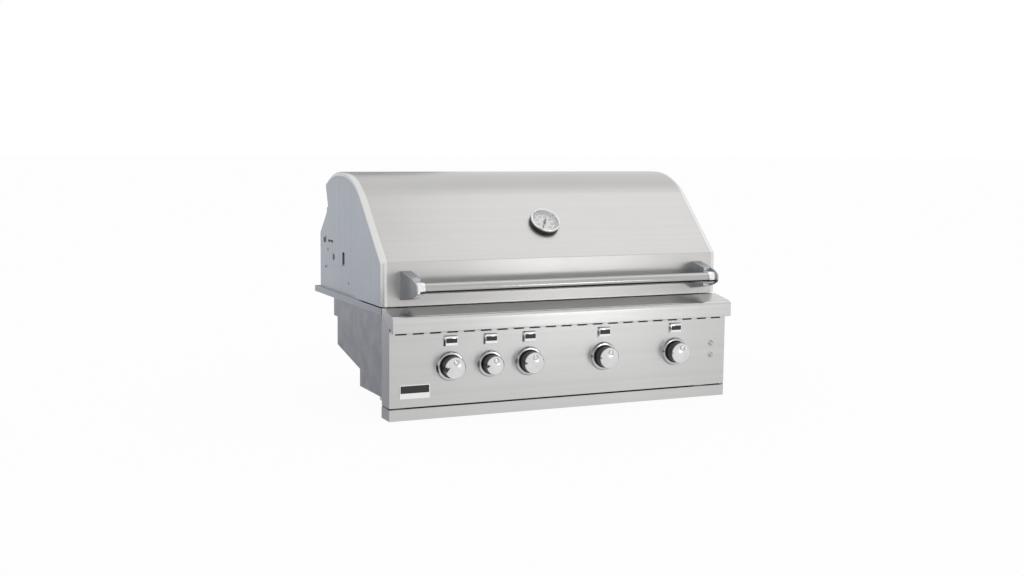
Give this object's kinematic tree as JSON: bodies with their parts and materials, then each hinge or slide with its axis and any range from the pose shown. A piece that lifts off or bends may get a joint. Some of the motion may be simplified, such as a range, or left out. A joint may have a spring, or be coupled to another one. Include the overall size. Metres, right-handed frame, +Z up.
{
  "type": "built-in gas grill",
  "caption": "Drop-in stainless gas grill head with a roll-top hood, tubular handle, temperature gauge, domed knobs, landing ledge and a pull-out drip tray.",
  "frame": {"origin": "centre of the rear flange's underside, where it rests on the counter top", "axes": "+X to the right as seen from the front, +Y to the rear, +Z up; the counter top is the plane z = 0"},
  "size_m": [1.067, 0.737, 0.6611],
  "materials": {
    "panel_steel": "brushed across",
    "ledge_steel": "brushed across",
    "hood_steel": "brushed across",
    "brushed_steel": "brushed",
    "plain_steel": "mill",
    "rod_steel": "satin",
    "handle_steel": "satin",
    "pipe_steel": "satin black",
    "chrome": "polished",
    "brass": "plain",
    "burner_tile": "matte",
    "dial_white": "matte",
    "black_paint": "satin",
    "clear_glass": "clear",
    "black_plastic": "gloss",
    "black_rubber": "matte"
  },
  "bodies": {
    "grill_body": {"control_panel": "panel_steel", "landing_ledge": "ledge_steel", "flange_rear": "brushed_steel", "flange_left": "brushed_steel", "flange_right": "brushed_steel", "side_panel_left": "plain_steel", "side_panel_right": "plain_steel", "rear_panel": "plain_steel", "floor_panel": "plain_steel", "front_wall": "plain_steel", "firebox_front": "plain_steel", "firebox_rear": "plain_steel", "firebox_ends": "plain_steel", "cooking_grate_1": "rod_steel", "cooking_grate_2": "rod_steel", "cooking_grate_3": "rod_steel", "cooking_grate_4": "rod_steel", "heat_tents": "plain_steel", "main_burners": "plain_steel", "gas_manifold": "pipe_steel", "gas_valves": "brass", "gas_inlet": "brass", "rear_housing": "brushed_steel", "rear_burner": "burner_tile", "wing_left": "brushed_steel", "wing_right": "brushed_steel", "hinge_pins": "chrome", "hood_rests": "black_rubber", "warming_rack": "rod_steel", "panel_bezels": "chrome", "label_tags": "chrome", "name_plate": "chrome", "tray_runners": "plain_steel"},
    "hood": {"hood_skin": "hood_steel", "hood_side_left": "brushed_steel", "hood_side_right": "brushed_steel", "hood_liner": "plain_steel", "handle_tube": "handle_steel", "handle_brackets": "chrome", "handle_ferrules": "chrome", "gauge_case": "chrome", "gauge_dial": "dial_white", "gauge_lens": "clear_glass"},
    "gauge_pointer": {"gauge_needle": "black_paint"},
    "drip_tray": {"drip_tray_front": "panel_steel", "drip_tray_pan": "plain_steel"},
    "valve_stem_1": {"valve_stem_1": "brass"},
    "knob_1": {"knob_1": "chrome"},
    "valve_stem_2": {"valve_stem_2": "brass"},
    "knob_2": {"knob_2": "chrome"},
    "valve_stem_3": {"valve_stem_3": "brass"},
    "knob_3": {"knob_3": "chrome"},
    "valve_stem_4": {"valve_stem_4": "brass"},
    "knob_4": {"knob_4": "chrome"},
    "valve_stem_5": {"valve_stem_5": "brass"},
    "knob_5": {"knob_5": "chrome"},
    "button_upper": {"button_upper": "black_plastic"},
    "button_lower": {"button_lower": "black_plastic"}
  },
  "joints": [
    {"name": "hood_hinge", "type": "hinge", "parent": "grill_body", "child": "hood", "pos_m": [0, -0.1265, 0.142], "axis": [-1, 0, 0], "range_deg": [0, 90]},
    {"name": "pointer_turn", "type": "hinge", "parent": "hood", "child": "gauge_pointer", "pos_m": [0, -0.52074, 0.23549], "axis": [0, 0.6984, -0.7157], "range_deg": [0, 270], "stiffness_Nm_per_rad": 0.001},
    {"name": "drip_tray_slide", "type": "slide", "parent": "grill_body", "child": "drip_tray", "axis": [0, -1, 0], "range_m": [0, 0.2]},
    {"name": "valve_turn_1", "type": "hinge", "parent": "grill_body", "child": "valve_stem_1", "pos_m": [-0.357, -0.6745, -0.14], "axis": [0, -1, 0], "range_deg": [0, 225]},
    {"name": "knob_push_1", "type": "slide", "parent": "valve_stem_1", "child": "knob_1", "axis": [0, 1, 0], "range_m": [0, 0.003], "stiffness_N_per_m": 2000, "springref_m": -0.002},
    {"name": "valve_turn_2", "type": "hinge", "parent": "grill_body", "child": "valve_stem_2", "pos_m": [-0.238, -0.6745, -0.14], "axis": [0, -1, 0], "range_deg": [0, 225]},
    {"name": "knob_push_2", "type": "slide", "parent": "valve_stem_2", "child": "knob_2", "axis": [0, 1, 0], "range_m": [0, 0.003], "stiffness_N_per_m": 2000, "springref_m": -0.002},
    {"name": "valve_turn_3", "type": "hinge", "parent": "grill_body", "child": "valve_stem_3", "pos_m": [-0.119, -0.6745, -0.14], "axis": [0, -1, 0], "range_deg": [0, 225]},
    {"name": "knob_push_3", "type": "slide", "parent": "valve_stem_3", "child": "knob_3", "axis": [0, 1, 0], "range_m": [0, 0.003], "stiffness_N_per_m": 2000, "springref_m": -0.002},
    {"name": "valve_turn_4", "type": "hinge", "parent": "grill_body", "child": "valve_stem_4", "pos_m": [0.119, -0.6745, -0.14], "axis": [0, -1, 0], "range_deg": [0, 225]},
    {"name": "knob_push_4", "type": "slide", "parent": "valve_stem_4", "child": "knob_4", "axis": [0, 1, 0], "range_m": [0, 0.003], "stiffness_N_per_m": 2000, "springref_m": -0.002},
    {"name": "valve_turn_5", "type": "hinge", "parent": "grill_body", "child": "valve_stem_5", "pos_m": [0.357, -0.6745, -0.14], "axis": [0, -1, 0], "range_deg": [0, 225]},
    {"name": "knob_push_5", "type": "slide", "parent": "valve_stem_5", "child": "knob_5", "axis": [0, 1, 0], "range_m": [0, 0.003], "stiffness_N_per_m": 2000, "springref_m": -0.002},
    {"name": "button_upper_push", "type": "slide", "parent": "grill_body", "child": "button_upper", "axis": [0, 1, 0], "range_m": [0, 0.002], "stiffness_N_per_m": 800, "springref_m": -0.002},
    {"name": "button_lower_push", "type": "slide", "parent": "grill_body", "child": "button_lower", "axis": [0, 1, 0], "range_m": [0, 0.002], "stiffness_N_per_m": 800, "springref_m": -0.002}
  ]
}
